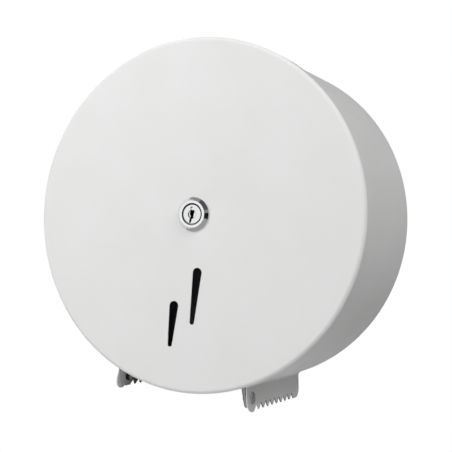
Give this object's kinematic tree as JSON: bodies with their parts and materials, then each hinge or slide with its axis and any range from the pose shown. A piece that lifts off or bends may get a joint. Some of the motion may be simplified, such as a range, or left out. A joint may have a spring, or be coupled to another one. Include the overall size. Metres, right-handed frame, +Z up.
{
  "type": "jumbo toilet roll dispenser",
  "caption": "Round wall-mounted sheet-steel drum for a large paper roll, with a drop-down lid, centre cam lock, sight slots, toothed tear plates and a turning hub.",
  "frame": {"origin": "on the drum's axis in the plane of the wall, at the centre of the pattern of wall holes", "axes": "+Z up, +Y into the wall along the drum's axis, +X to the right as seen from the front; the front faces -Y"},
  "size_m": [0.27, 0.1254, 0.2781],
  "materials": {
    "paint": "white epoxy powder coat, satin, fine orange peel",
    "chrome": "polished chrome plate",
    "zinc": "zinc-plated steel",
    "nylon": "natural nylon",
    "hub_plastic": "moulded light grey ABS, fine texture"
  },
  "bodies": {
    "base": {"back_plate": "paint", "side_band": "paint", "spindle_flange": "zinc", "flange_rivets": "zinc", "spindle_tube": "zinc", "spindle_cap": "zinc", "rear_hub_washer": "nylon", "front_hub_washer": "nylon", "hub_retaining_ring": "zinc", "left_hinge_rivet": "zinc", "right_hinge_rivet": "zinc", "hinge_washers": "zinc"},
    "lid": {"lid_shell": "paint", "left_hinge_ear": "paint", "right_hinge_ear": "paint", "lock_housing": "chrome", "lock_washer": "zinc", "lock_nut": "zinc"},
    "lock": {"lock_plug": "chrome", "cam_collar": "zinc", "lock_cam": "zinc", "cam_washer": "zinc", "cam_screw": "zinc"},
    "hub": {"roll_hub": "hub_plastic"}
  },
  "joints": [
    {"name": "lid_hinge", "type": "hinge", "parent": "base", "child": "lid", "pos_m": [0, -0.1015, -0.1326], "axis": [1, 0, 0], "range_deg": [0, 170]},
    {"name": "lock_turn", "type": "hinge", "parent": "lid", "child": "lock", "pos_m": [0, -0.122, 0], "axis": [0, 1, 0], "range_deg": [0, 90]},
    {"name": "hub_spin", "type": "hinge", "parent": "base", "child": "hub", "pos_m": [0, -0.05, 0], "axis": [0, 1, 0], "continuous": true}
  ]
}
